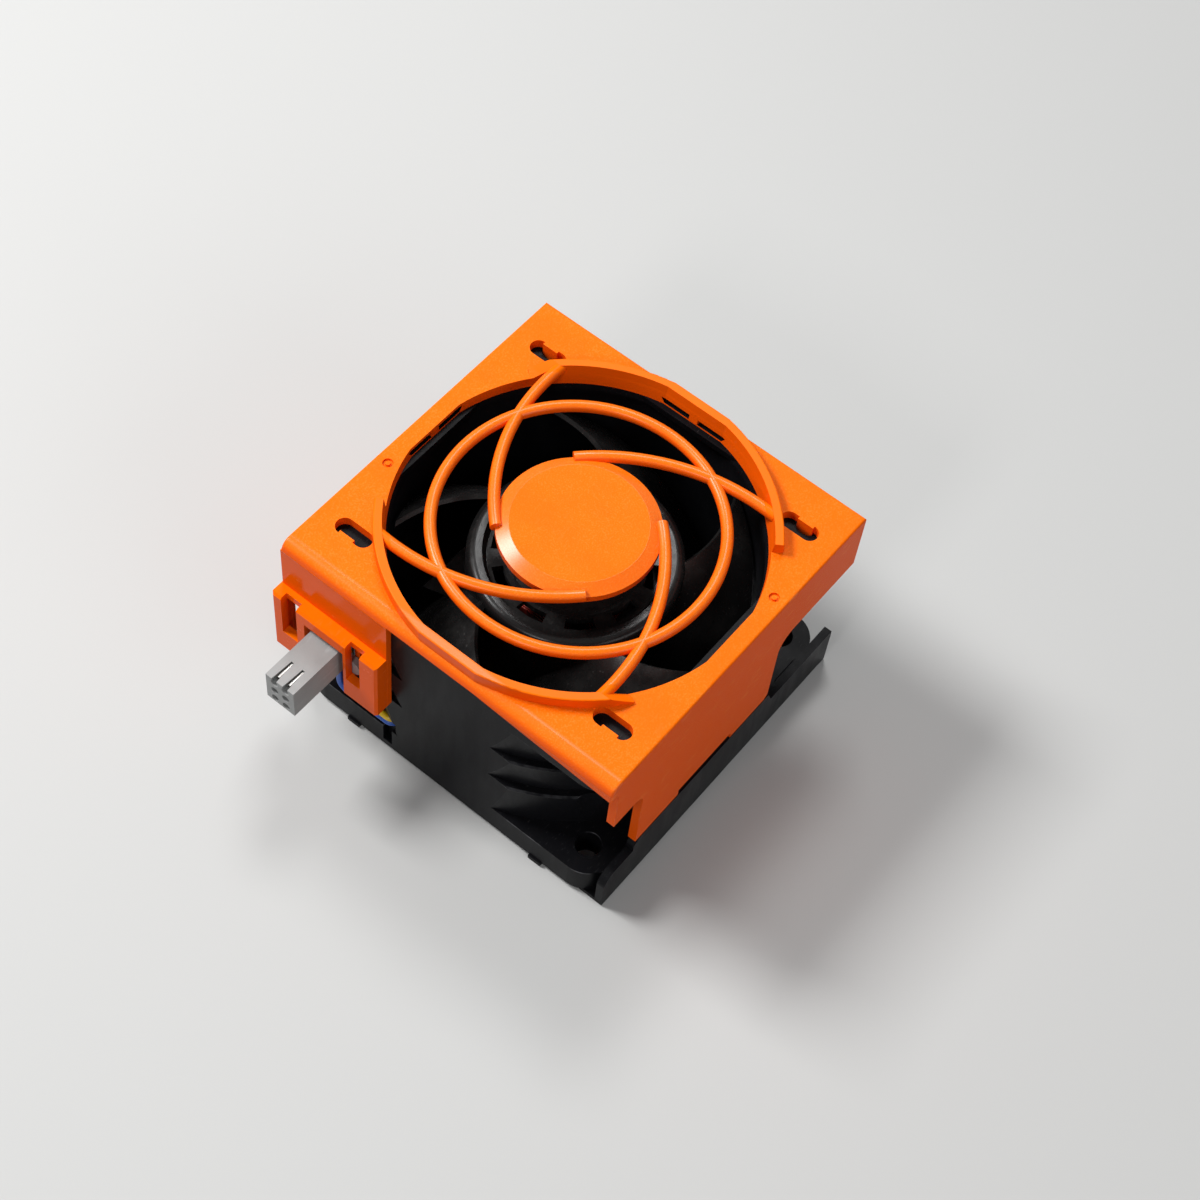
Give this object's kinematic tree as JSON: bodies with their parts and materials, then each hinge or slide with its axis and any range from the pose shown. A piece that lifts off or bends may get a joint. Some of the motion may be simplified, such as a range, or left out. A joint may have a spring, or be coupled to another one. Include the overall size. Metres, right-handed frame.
{
  "type": "server fan module",
  "caption": "Axial fan in a stepped black frame, clipped under a coloured shroud with a finger guard, on a rear tray, with its leads ending in a plug held by a bracket.",
  "frame": {"origin": "on the fan's axis, in the plane of the rear tray's underside", "axes": "+Z along the fan's axis towards the inlet and the guard, -Y towards the side with the plug"},
  "size_m": [0.0632, 0.0738, 0.0426],
  "materials": {
    "tray_plastic": "satin",
    "frame_plastic": "semi-gloss, glass filled",
    "rotor_plastic": "semi-gloss, glass filled",
    "orange_plastic": "fine spark-eroded texture",
    "plug_plastic": "matte",
    "tube_brass": "turned",
    "bearing_steel": "ground",
    "shaft_steel": "ground",
    "clip_steel": "phosphated",
    "spring_steel": "drawn",
    "core_steel": "stamped sheets",
    "cap_plastic": "matte",
    "winding_copper": "enamelled",
    "board_laminate": "solder mask",
    "component_case": "moulded",
    "magnet_ferrite": "matte",
    "yoke_steel": "zinc plated",
    "contact_metal": "tin plated",
    "yellow_insulation": "satin",
    "blue_insulation": "satin",
    "black_insulation": "satin",
    "red_insulation": "satin"
  },
  "bodies": {
    "module": {"rear_tray": "tray_plastic", "fan_frame": "frame_plastic", "motor_base": "frame_plastic", "bearing_tube": "tube_brass", "rear_bearing": "bearing_steel", "front_bearing": "bearing_steel", "preload_spring": "spring_steel", "stator_core": "core_steel", "stator_insulator": "cap_plastic", "stator_windings": "winding_copper", "circuit_board": "board_laminate", "board_components": "component_case", "shroud": "orange_plastic", "plug_housing": "plug_plastic", "plug_contacts": "contact_metal", "lead_yellow": "yellow_insulation", "lead_blue": "blue_insulation", "lead_black": "black_insulation", "lead_red": "red_insulation"},
    "rotor": {"impeller": "rotor_plastic", "rotor_yoke": "yoke_steel", "rotor_magnet": "magnet_ferrite", "shaft": "shaft_steel", "retaining_clip": "clip_steel"}
  },
  "joints": [
    {"name": "rotor_spin", "type": "hinge", "parent": "module", "child": "rotor", "pos_m": [0, 0, 0.026], "axis": [0, 0, 1], "continuous": true}
  ]
}
